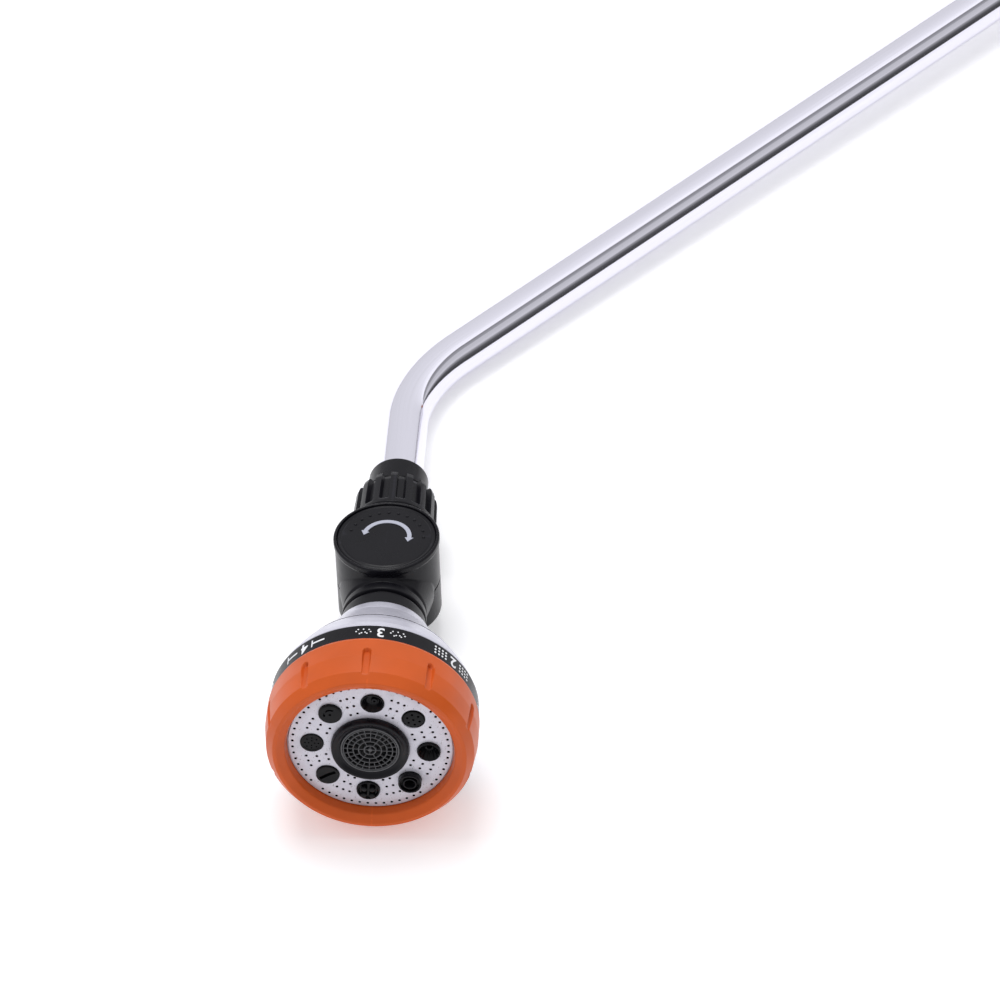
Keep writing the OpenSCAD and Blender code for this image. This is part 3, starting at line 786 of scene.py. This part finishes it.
def make_mesh():
    """Aerator grid: six round wires, bars across the rings and a small hub."""
    top = 95.35
    parts = []

    def spoke(inner, outer, turn):
        at = moved(DIAL, (inner + outer) / 2, 0, top - 0.5, turn)
        parts.append(bar("spoke", (outer - inner, 0.26, 0.8), at, 0.06))

    for r, w in ((2.1, 0.22), (4.1, 0.19), (6.1, 0.19), (8.1, 0.19), (9.6, 0.2), (10.3, 0.3)):
        side = rounded([(r - w, top - 1, 0.05), (r + w, top - 1, 0.05), (r + w, top, 0.12),
                        (r - w, top, 0.12)], 3)
        parts.append(lathe("wire", side, DIAL, segments=96, longest=3))
    for index in range(24):
        inner = (2.1, 4.1, 6.1)[2 if index % 2 else (1 if index % 4 else 0)]
        spoke(inner, 10.0, index * math.pi / 12)
    hub = rounded([(0, top - 1, 0), (0.8, top - 1, 0.1), (0.8, top, 0.3), (0, top + 0.1, 0)], 3)
    parts.append(solid("hub", hub, DIAL, 32))
    for k in range(4):
        spoke(0.5, 2.1, k * math.pi / 2)
    well = solid("aerator_well", [(0, 91.6), (10.6, 91.6), (10.6, 92.4), (0, 92.2)], DIAL, 64, longest=6)
    dress(well, "dial", "insert_black")
    return dress(join("aerator_grid", parts), "dial", "insert_black", "aerator_mesh", look="mesh_grey")


# ---------------------------------------------------------------- port inserts

INSERT_R = 4.2


def port_frame(index):
    return moved(DIAL, PORT_CIRCLE_R, turn=index * STEP)


def plug(index, name, points, shape=None):
    """One insert, turned from an outline of (r, z, fillet) that starts at the back and ends on its axis."""
    return solid(name, rounded([(0, 88, 0), (INSERT_R, 88, 0)] + points, 4), port_frame(index),
                 72, shape, 0.6)


def drill(obj, index, spots, r, low, high):
    """Straight holes of one insert, at (x, y) spots about its own axis."""
    side = [(0, low), (r, low), (r, high), (0, high)]
    cutters = [solid("drill", side, moved(port_frame(index), x, y), 16, longest=9) for x, y in spots]
    return cut(obj, join("drills", cutters))


def ring_spots(count, r):
    return [polar(r, a) for a in even_angles(count)]


def fluted(angle, r, z):
    """Shallow flutes on the wall of a cone."""
    if r < 1.4 or r > 3.7 or z < 91.6:
        return r, z
    return r + 0.16 * math.cos(12 * angle), z


def make_cone_insert():
    return plug(0, "jet_cone", [(INSERT_R, 94.4, 0.25), (3.8, 94.4, 0.15), (1.5, 91.4, 0.3),
                                (0.95, 91.2, 0.1), (0.95, 88.5, 0),
                                (0, 88.5, 0)], fluted)


def make_shower_insert():
    obj = plug(1, "jet_shower", [(INSERT_R, 93.0, 0.1), (3.75, 93.1, 0.05), (3.7, 93.7, 0.25), (0, 93.9, 0)])
    return drill(obj, 1, [(0, 0)] + ring_spots(6, 2.3), 0.45, 91.5, 95)


def make_mist_insert():
    obj = plug(2, "jet_mist", [(INSERT_R, 93.9, 0.2), (3.8, 93.9, 0.15), (2.2, 91.6, 0.5), (0, 91.5, 0)])
    at = moved(port_frame(2), 0, -0.6)
    side = rounded([(0, 91, 0), (1.3, 91, 0), (1.15, 92.3, 0.3), (0, 92.4, 0)], 3)
    nozzle = solid("nozzle", side, at, 32)
    nozzle = cut(nozzle, solid("drill", [(0, 91.4), (0.5, 91.4), (0.5, 94), (0, 94)], at, 16, longest=9))
    return join("jet_mist", [obj, nozzle])


def make_flat_insert():
    obj = plug(3, "jet_flat", [(INSERT_R, 94.4, 0.3), (0, 94.5, 0)])
    side = [(1.8, 93.8), (2.5, 93.8), (2.5, 95.5), (1.8, 95.5)]
    arc = lathe("arc", side, port_frame(3), 48, longest=9)
    keep = bar("keep", (4, 8, 4), moved(port_frame(3), 2.6, 0, 94.4), 0)
    mod = arc.modifiers.new("keep", "BOOLEAN")
    mod.operation = "INTERSECT"
    mod.object = keep
    apply_all(arc)
    bpy.data.objects.remove(keep)
    obj = cut(obj, arc)
    return drill(obj, 3, [(0, 0)], 0.5, 92.5, 96)


def make_soaker_insert():
    obj = plug(4, "jet_soaker", [(INSERT_R, 93.9, 0.25), (3.4, 93.9, 0.1), (3.2, 93.7, 0.1), (0, 93.75, 0)])
    return drill(obj, 4, ring_spots(8, 2.4) + ring_spots(4, 1.1), 0.3, 92.5, 95)


def make_fan_insert():
    obj = plug(5, "jet_fan", [(INSERT_R, 94.2, 0.25), (3.6, 94.2, 0.2), (0, 93.8, 0)])
    at = moved(port_frame(5), 0, 0, 94.2) @ Matrix.Rotation(-0.2, 4, "Z")
    obj = cut(obj, bar("slot", (6.6, 1.3, 3), at, 0.1))
    return drill(obj, 5, [(0, 0)], 0.7, 91.5, 95)


def make_angle_insert():
    frame_here = port_frame(6)
    body = plug(6, "jet_angle", [(INSERT_R, 94.4, 0.25), (3.6, 94.3, 0.2), (3.3, 93.6, 0.2), (0, 93.6, 0)])
    parts = [body]
    for k in range(4):
        a = math.pi / 4 + k * math.pi / 2
        post = rounded([(0, 93, 0), (1.15, 93, 0), (1.05, 95.4, 0.4), (0, 95.6, 0)], 4)
        parts.append(solid("post", post, moved(frame_here, *polar(2.1, a)), 28, longest=0.6))
    return join("jet_angle", parts)


def make_jet_insert():
    return plug(7, "jet_straight", [
        (INSERT_R, 95.9, 0.25), (3.5, 95.9, 0.2), (3.4, 94.4, 0.1), (2.6, 94.4, 0.1), (2.5, 95.7, 0.25),
        (2.0, 95.7, 0.15),
        (1.0, 93.4, 0.2), (1.0, 88.5, 0), (0, 88.5, 0)])


def make_inserts():
    makers = (make_cone_insert, make_shower_insert, make_mist_insert, make_flat_insert, make_soaker_insert,
              make_fan_insert, make_angle_insert, make_jet_insert)
    nodes = ("insert_cone", "insert_shower", "insert_mist", "insert_flat", "insert_soaker", "insert_fan",
             "insert_angle", "insert_jet")
    for maker, node in zip(makers, nodes):
        obj = maker()
        obj.data.shade_smooth()
        obj.data.set_sharp_from_angle(angle=math.radians(35))
        dress(obj, "dial", "insert_black", node)


# ---------------------------------------------------------------- shell, neck and pivot


def turned(name, points, matrix, body, slot, node, sharp=50, longest=1.2):
    """One turned part: its outline of (r, z, fillet) lathed and dressed in place of its CAD node."""
    obj = lathe(name, rounded(points), matrix, longest=longest)
    obj.data.set_sharp_from_angle(angle=math.radians(sharp))
    return dress(obj, body, slot, node)


def make_shell():
    shell = turned("shell_skin", [
        (15.3, 40.9, 0.1), (20.6, 40.9, 0.2), (24.2, 47, 8), (28.6, 53.4, 14), (30.4, 56.1, 0.1),
        (29.8, 56.3, 0.0), (29.9, 56.8, 0.0),
        (30.85, 57.0, 0.1), (33.2, 61, 10), (36.2, 67, 8),
        (37.15, 69.6, 0.5), (37.1, 70, 0.15), (35, 70, 0.1), (34, 67, 2), (31, 61.6, 2), (26.8, 54.8, 2),
        (22, 47.6, 2),
        (17.5, 43.2, 0.5), (15.3, 43.2, 0.2)], HEAD, "head", "shell_silver", "back_shell")
    # Painted shade: the faces inside the narrow seam groove get the black housing material, standing in for the
    # shadow that falls in the groove.
    shell.data.materials.append(MATERIALS["housing_black"])
    for poly in shell.data.polygons:
        spot = HEAD.inverted() @ (shell.matrix_world @ poly.center) / MM
        if 56.1 < spot.z < 57.0 and 29.5 < math.hypot(spot.x, spot.y) < 30.75:
            poly.material_index = 1
    turned("collar_skin", [
        (15, 34.7, 0.1), (17.5, 34.7, 0.3), (18.1, 35.3, 0.3), (20.4, 40.8, 0.15), (20.2, 40.85, 0.05),
        (15, 40.85, 0.1)],
        HEAD, "head", "shell_silver", "shell_collar")


def make_neck():
    turned("neck_skin", [
        (11, 21.5, 0.1), (14.9, 21.5, 0.1), (15.6, 22.1, 0.5), (15.6, 24.8, 0.5), (14.2, 25.3, 0.2),
        (14.2, 26.3, 0.2),
        (15.6, 26.9, 0.6), (15.6, 32.6, 0.8), (14.9, 33.4, 0.4), (14.9, 41.2, 0.05), (13.9, 41.2, 0.05),
        (13.9, 42.8, 0.05),
        (14.9, 42.8, 0.05), (14.9, 47, 0.3),
        (11, 47, 0.1)], HEAD, "head", "housing_black", "neck", longest=0.8)


def make_cap():
    obj = solid("cap_disc", rounded([
        (0, 18, 0), (HOUSING_R - 0.95, 18, 0.05), (HOUSING_R - 0.95, 18.9, 0.3),
        (HOUSING_R - 1.6, CAP_TOP, 0.25),
        (HOUSING_R - 2.4, CAP_TOP - 0.25, 0.2), (HOUSING_R - 2.9, CAP_TOP - 0.05, 0.2),
        (0, CAP_TOP - 0.05, 0)], 4),
        PIVOT, 160)
    obj.data.set_sharp_from_angle(angle=math.radians(50))
    return dress(obj, "head", "housing_black", "pivot_cap")


ARROW_FROM = math.radians(-4)
ARROW_TO = math.radians(160)


def make_arrow():
    """Curved double arrow: one flat band with a barbed head at each end, about 0.25 mm proud of the cap."""
    inner, outer = 7.7, 9.3
    steps = 60
    head = math.radians(15)
    rim_out, rim_in = [], []
    mid, barb = (inner + outer) / 2, 1.6
    for i in range(steps + 1):
        a = ARROW_FROM + (ARROW_TO - ARROW_FROM) * i / steps
        rim_out.append(polar(outer, a))
        rim_in.append(polar(inner, a))

    def tip(a, way):
        return [polar(mid + barb, a), polar(mid, a + way * head), polar(mid - barb, a)]

    outline = tip(ARROW_FROM, -1)[::-1] + rim_out + tip(ARROW_TO, 1) + rim_in[::-1]
    low, high = CAP_TOP - 0.1, CAP_TOP + 0.22
    count = len(outline)
    verts = [(x, y, low) for x, y in outline] + [(x, y, high) for x, y in outline]
    walls = [(i, (i + 1) % count, count + (i + 1) % count, count + i) for i in range(count)]
    obj = make("cap_arrow_print", verts, [tuple(reversed(range(count))),
                                          tuple(range(count, 2 * count))] + walls,
               PIVOT, smooth=False)
    outward(obj)
    return dress(obj, "head", "print_white", "cap_arrow", look="arrow_silver")


def make_dots():
    dots = []
    for i in range(12):
        side = rounded([(0, CAP_TOP - 0.15, 0), (0.6, CAP_TOP - 0.15, 0), (0.5, CAP_TOP + 0.22, 0.18),
                        (0, CAP_TOP + 0.3, 0)], 3)
        dots.append(solid("dot", side, moved(PIVOT, 13.8, turn=math.radians(165 - 15 * i)), 20))
    return dress(join("cap_dots", dots), "head", "housing_black", "click_dots")


def make_pivot():
    dress(moulded_copy("knuckle_upper", "pivot_upper", 0.26, 3), "head", "housing_black", "knuckle_upper")
    dress(moulded_copy("knuckle_lower", "pivot_lower", 0.26, 3), "handle", "housing_black", "knuckle_lower")
    make_cap()
    make_arrow()
    make_dots()


# ---------------------------------------------------------------- lock nut and collet


def nut_shape(angle, r, z):
    """Ribs along the nut that end as teeth towards the tube."""
    if r < 13 or z < NUT_START + 2.6:
        return r, z
    pitch = 2 * math.pi / NUT_RIBS
    off = abs((angle + pitch / 2) % pitch - pitch / 2) / (pitch / 2)
    rib = max(0.0, min(1.0, (0.54 - off) / 0.12))
    rise = max(0.0, min(1.0, (z - NUT_START - 2.6) / 1.4))
    ease = 1.0 if z > NUT_START + 4 else rise
    return r - 1.8 * (1 - rib) * ease, z - (0.8 * (1 - rib) if z > NUT_END - 1.2 else 0)


def make_nut():
    outline = rounded([
        (12.35, NUT_START, 0.1), (NUT_R - 0.5, NUT_START, 0.3), (NUT_R, NUT_START + 0.6, 0.4),
        (NUT_R - 0.05, NUT_START + 2.7, 0.3), (NUT_R - 0.1, NUT_START + 4, 1.0),
        (NUT_R - 0.5, NUT_END - 3, 3),
        (NUT_R - 1, NUT_END - 0.9, 0.4), (NUT_R - 1.6, NUT_END, 0.3), (12.9, NUT_END, 0.2),
        (12.35, NUT_END - 1.4, 0.1)])
    obj = lathe("nut_skin", outline, TAIL, segments=NUT_RIBS * 24, shape=nut_shape, longest=0.5)
    obj.data.set_sharp_from_angle(angle=math.radians(45))
    lip = lathe("nut_lip", [(COLLET_R + 0.2, NUT_END - 1.4), (12.6, NUT_END - 1.4), (12.9, NUT_END - 0.8),
                            (COLLET_R + 0.2, NUT_END - 0.8)], TAIL, 96)
    obj = join("nut_skin", [obj, lip])
    return dress(obj, "lock_nut", "housing_black", "lock_nut")


def make_collet():
    outline = rounded([(9.03, 41.1, 0.1), (COLLET_R, 41.1, 0.1), (COLLET_R, COLLET_END - 0.8, 0.5),
                       (COLLET_R - 0.6, COLLET_END, 0.4), (9.03, COLLET_END, 0.15)])
    obj = lathe("collet_skin", outline, TAIL, segments=128)
    cut(obj, bar("slit", (6, 0.8, 16), moved(TAIL, 10.5, 0, 51, math.radians(135)), 0))
    obj.data.shade_smooth()
    obj.data.set_sharp_from_angle(angle=math.radians(35))
    return dress(obj, "handle", "housing_black", "collet")


# ---------------------------------------------------------------- handle


def make_grip():
    """Sleeve with nine soft finger grooves."""
    front, rear = -147.9, -34.1
    points = [(12.5, front, 0.1), (15.4, front, 0.6), (16.1, -136, 10), (16.6, -98, 30), (16.0, -60, 20),
              (15.2, -42, 8),
              (15.1, rear, 0.6), (12.5, rear, 0.1)]

    def soft(angle, r, z):
        if r < 14:
            return r, z
        dip = 0.0
        for i in range(9):
            off = abs(z - (-128 + 8.5 * i))
            if off < 1.9:
                dip = 0.6 * (1 + math.cos(math.pi * off / 1.9))
        return r - dip, z

    obj = lathe("grip_skin", rounded(points, 8), HANDLE, shape=soft, longest=0.45)
    return dress(obj, "handle", "grip_rubber", "grip_sleeve")


def make_handle_rings():
    turned("front_ring", [(9.03, -220, 0.1), (11.1, -220, 0.4), (12.4, -218.6, 0.5), (13.7, -212.2, 0.3),
                          (13.7, -212, 0.1),
                          (9.03, -212, 0.1)], HANDLE, "handle", "dial_orange", "front_collar")
    turned("rear_ring", [(10.05, -29.9, 0.2), (14.8, -29.9, 0.5), (15, -29, 0.4), (15, -23, 0.4),
                         (14.8, -22.1, 0.5),
                         (10.05, -22.1, 0.2)], HANDLE, "handle", "dial_orange", "end_ring")


def make_nipple():
    neck = lathe("nipple_skin", rounded([
        (5, -22, 0.1), (11.9, -22, 0.1), (11.9, -15, 0.3), (6.9, -14.2, 0.4), (6.9, -7.8, 0.4),
        (7.9, -6.8, 0.3),
        (7.9, 6, 0.4), (6.1, 6.6, 0.3), (6.1, 9.2, 0.2), (7.4, 9.6, 0.15), (7.4, 12, 0.3), (6.6, 13, 0.3),
        (5, 13, 0.2)]),
        HANDLE, longest=0.8)
    neck.data.set_sharp_from_angle(angle=math.radians(50))
    outline = [polar(13.6, math.radians(60 * k + a)) for k in range(6) for a in (-1.5, 1.5)]
    low, high = -21.9, -15.4
    count = len(outline)
    rings = [(low, 0.96), (low + 0.4, 1.0), (high - 0.5, 1.0), (high, 0.96)]
    verts = [(x * s, y * s, z) for z, s in rings for x, y in outline]
    faces = [tuple(reversed(range(count))), tuple(range(3 * count, 4 * count))]
    for k in range(3):
        near, far = k * count, (k + 1) * count
        faces += [(near + i, near + (i + 1) % count, far + (i + 1) % count, far + i) for i in range(count)]
    flats = outward(make("nut_flats", verts, faces, HANDLE, smooth=False))
    flats = cut(flats, solid("bore", [(0, -25), (6, -25), (6, -10), (0, -10)], HANDLE, 48, longest=9))
    obj = join("nipple_skin", [neck, flats])
    return dress(obj, "handle", "housing_black", "inlet_nipple")


def make_valve():
    dress(moulded_copy("valve_body", "valve_skin", 0.3, 5), "handle", "housing_black", "valve_body")
    turned("valve_front", [
        (9.1, -212, 0.1), (14.1, -212, 0.5), (16.3, -206, 0.6), (16.4, -203.05, 0.2), (12.9, -203.05, 0.05),
        (12.9, -188.1, 0.1), (9.1, -188.1, 0.1)], HANDLE, "handle", "housing_black", "valve_cap")


def make_lever():
    obj = moulded_copy("thumb_lever", "lever_skin", 0.24, 6)
    return dress(obj, "valve", "dial_orange", "thumb_lever")


# ---------------------------------------------------------------- studio

LENS = 172
VIEW_AZIMUTH = -126.33
VIEW_ELEVATION = 49.19
VIEW_ROLL = -5.19
VIEW_DISTANCE = 1707.0
AIM_RIGHT = 46.3
AIM_UP = 88.0


def make_camera():
    """Looks down on the head from the front, with the head left of and below the middle."""
    az, el, roll = math.radians(VIEW_AZIMUTH), math.radians(VIEW_ELEVATION), math.radians(VIEW_ROLL)
    back = Vector((math.cos(az) * math.cos(el), math.sin(az) * math.cos(el), math.sin(el)))
    level = Vector((-math.sin(az), math.cos(az), 0))
    upright = back.cross(level)
    right = level * math.cos(roll) + upright * math.sin(roll)
    up = back.cross(right)
    face = HEAD @ Vector((0, 0, FACE_Z * MM))
    aim = face + (right * AIM_RIGHT + up * AIM_UP) * MM
    data = bpy.data.cameras.new("camera")
    data.lens = LENS
    data.sensor_width = 36
    data.clip_end = 50
    cam = bpy.data.objects.new("camera", data)
    cam.matrix_world = basis(aim + back * VIEW_DISTANCE * MM, right, up, back)
    bpy.context.scene.collection.objects.link(cam)
    bpy.context.scene.camera = cam


FLOOR_GLOW = 0.3


def make_floor():
    """A wide sheet with a faint glow of its own, under the valve and the bezel."""
    valve_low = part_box("valve_body")[0]
    bezel_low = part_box("bezel")[0]
    bezel_mid = (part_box("bezel")[0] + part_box("bezel")[1]) / 2
    slope = (bezel_low.z - valve_low.z) / (bezel_mid.x - valve_low.x)
    half = 9.0
    verts = []
    for x, y in ((-half, -half), (half, -half), (half, half), (-half, half)):
        verts.append((x / MM, y / MM, (valve_low.z - 0.0003 + slope * (x - valve_low.x)) / MM))
    obj = make("floor", verts, [(0, 1, 2, 3)], smooth=False)
    mat, tree, shader = start("floor_paper", (0.92, 0.92, 0.93), 0.7)
    tone = blend_colour(tree, noise(tree, 3, 2.0), (0.91, 0.91, 0.92), (0.94, 0.94, 0.945))
    tree.links.new(tone, shader.inputs["Base Color"])
    tree.links.new(tone, shader.inputs["Emission Color"])
    shader.inputs["Emission Strength"].default_value = FLOOR_GLOW
    obj.data.materials.append(mat)


def make_sky():
    """Pale surround with dark bands, which the polish of the tube shows as stripes."""
    world = bpy.data.worlds.new("studio")
    bpy.context.scene.world = world
    world.use_nodes = True
    tree = world.node_tree
    ray = add(tree, "ShaderNodeTexCoord").outputs["Generated"]
    parts = add(tree, "ShaderNodeSeparateXYZ", {"Vector": ray})
    away = add(tree, "ShaderNodeMath", {0: parts.outputs["Y"], 1: -1.0}, operation="MULTIPLY").outputs[0]
    height = add(tree, "ShaderNodeMath", {0: parts.outputs["Z"], 1: away}, operation="ARCTAN2").outputs[0]
    scaled = span(tree, height, 0.0, math.pi, 0.0, 1.0)
    ramp = add(tree, "ShaderNodeValToRGB", {"Fac": scaled})
    stops = [(0.0, 0.12), (0.03, 0.06), (0.11, 0.12), (0.175, 0.4), (0.195, 0.72), (0.33, 0.62),
             (0.345, 0.42),
             (0.405, 0.3), (0.42, 0.25), (0.44, 1.25), (0.55, 1.0), (0.7, 0.88), (0.85, 0.84), (1.0, 0.8)]
    marks = ramp.color_ramp.elements
    while len(marks) < len(stops):
        marks.new(0.5)
    for mark, (spot, level) in zip(marks, stops):
        mark.position = spot
        mark.color = (level, level, level * 1.02, 1)
    ahead = span(tree, parts.outputs["X"], -0.15, 0.15, 1.0, 0.0)
    sky = add(tree, "ShaderNodeMix", data_type="RGBA")
    tree.links.new(ahead, sky.inputs[0])
    tree.links.new(ramp.outputs["Color"], sky.inputs[6])
    sky.inputs[7].default_value = (0.68, 0.68, 0.70, 1)
    light = tree.nodes["Background"]
    tree.links.new(sky.outputs[2], light.inputs["Color"])
    light.inputs["Strength"].default_value = 1.0


def soft_light(name, spot, aim, size, power):
    data = bpy.data.lights.new(name, "AREA")
    data.shape = "RECTANGLE"
    data.size, data.size_y = size
    data.energy = power
    lamp = bpy.data.objects.new(name, data)
    lamp.location = spot
    lamp.rotation_euler = (Vector(aim) - Vector(spot)).to_track_quat("-Z", "Y").to_euler()
    bpy.context.scene.collection.objects.link(lamp)


def make_lights():
    """One softbox above and behind the head."""
    middle = HEAD @ Vector((0, 0, 0.05))
    soft_light("key", middle + Vector((0.15, 0.3, 1.1)), middle, (0.6, 0.45), 5.5)
    bpy.context.scene.view_settings.view_transform = "Standard"


# ---------------------------------------------------------------- the whole wand

make_camera()
make_floor()
make_sky()
make_lights()
dress_cad_nodes()
make_tube()
make_bezel()
make_label_band()
make_labels()
make_face_plate()
make_centre_ring()
make_mesh()
make_inserts()
make_shell()
make_neck()
make_pivot()
make_nut()
make_collet()
make_grip()
make_handle_rings()
make_nipple()
make_valve()
make_lever()
